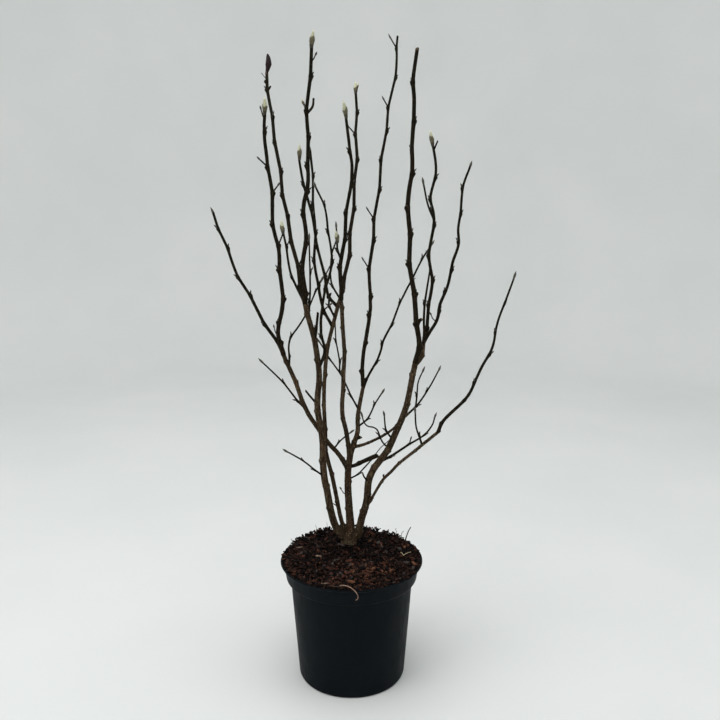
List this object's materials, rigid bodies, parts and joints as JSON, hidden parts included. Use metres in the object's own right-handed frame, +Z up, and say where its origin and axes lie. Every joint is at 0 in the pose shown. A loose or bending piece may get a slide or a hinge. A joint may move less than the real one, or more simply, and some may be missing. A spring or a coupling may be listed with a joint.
{
  "type": "potted deciduous magnolia shrub",
  "caption": "Leafless several-stemmed magnolia shrub with silky winter buds, growing in a round black plastic nursery pot filled with bark compost.",
  "frame": {"origin": "middle of the pot's flat underside", "axes": "+Z up along the pot's axis and the longest way through the plant, +X to the right across the shrub's widest spread, +Y away from its front"},
  "size_m": [0.4167, 0.2899, 0.9868],
  "materials": {
    "old_bark": "dull grey-brown bark, finely fissured, with lenticels",
    "young_shoots": "dark brown young bark, slightly shiny, with grey-green silky buds",
    "black_plastic": "satin black moulded plastic",
    "bark_compost": "coarse damp bark compost"
  },
  "bodies": {
    "root": {"back_leader": "young_shoots", "back_right_leader": "young_shoots", "back_right_shoot": "young_shoots", "centre_back_twig": "young_shoots", "centre_bough": "old_bark", "centre_leader": "young_shoots", "centre_right_bough": "old_bark", "compost": "bark_compost", "far_left_shoot": "young_shoots", "inner_branch": "young_shoots", "inner_bud_twig": "young_shoots", "inner_long_shoot": "young_shoots", "inner_second_shoot": "young_shoots", "inner_stub": "young_shoots", "left_back_leader": "young_shoots", "left_bud_shoot": "young_shoots", "left_crossing_twig": "young_shoots", "left_front_leader": "young_shoots", "left_inner_stem": "old_bark", "left_low_spur": "young_shoots", "left_low_twig": "young_shoots", "left_notch_twig": "young_shoots", "left_outer_bough": "old_bark", "left_outer_twig": "young_shoots", "left_stem": "old_bark", "left_stub": "young_shoots", "left_tall_shoot": "young_shoots", "left_thin_shoot": "young_shoots", "low_right_inner": "young_shoots", "low_right_riser": "young_shoots", "low_right_shoot": "young_shoots", "low_riser": "young_shoots", "pot": "black_plastic", "right_back_bough": "old_bark", "right_back_outer": "young_shoots", "right_curl": "young_shoots", "right_inner_twig": "young_shoots", "right_leader": "young_shoots", "right_low_bough": "old_bark", "right_outer_shoot": "young_shoots", "right_pair_back": "young_shoots", "right_pair_front": "young_shoots", "right_spur": "young_shoots", "right_stem": "old_bark", "right_upper_bough": "old_bark", "trunk": "old_bark", "trunk_cross_twig": "young_shoots", "trunk_stub": "young_shoots"}
  },
  "joints": []
}
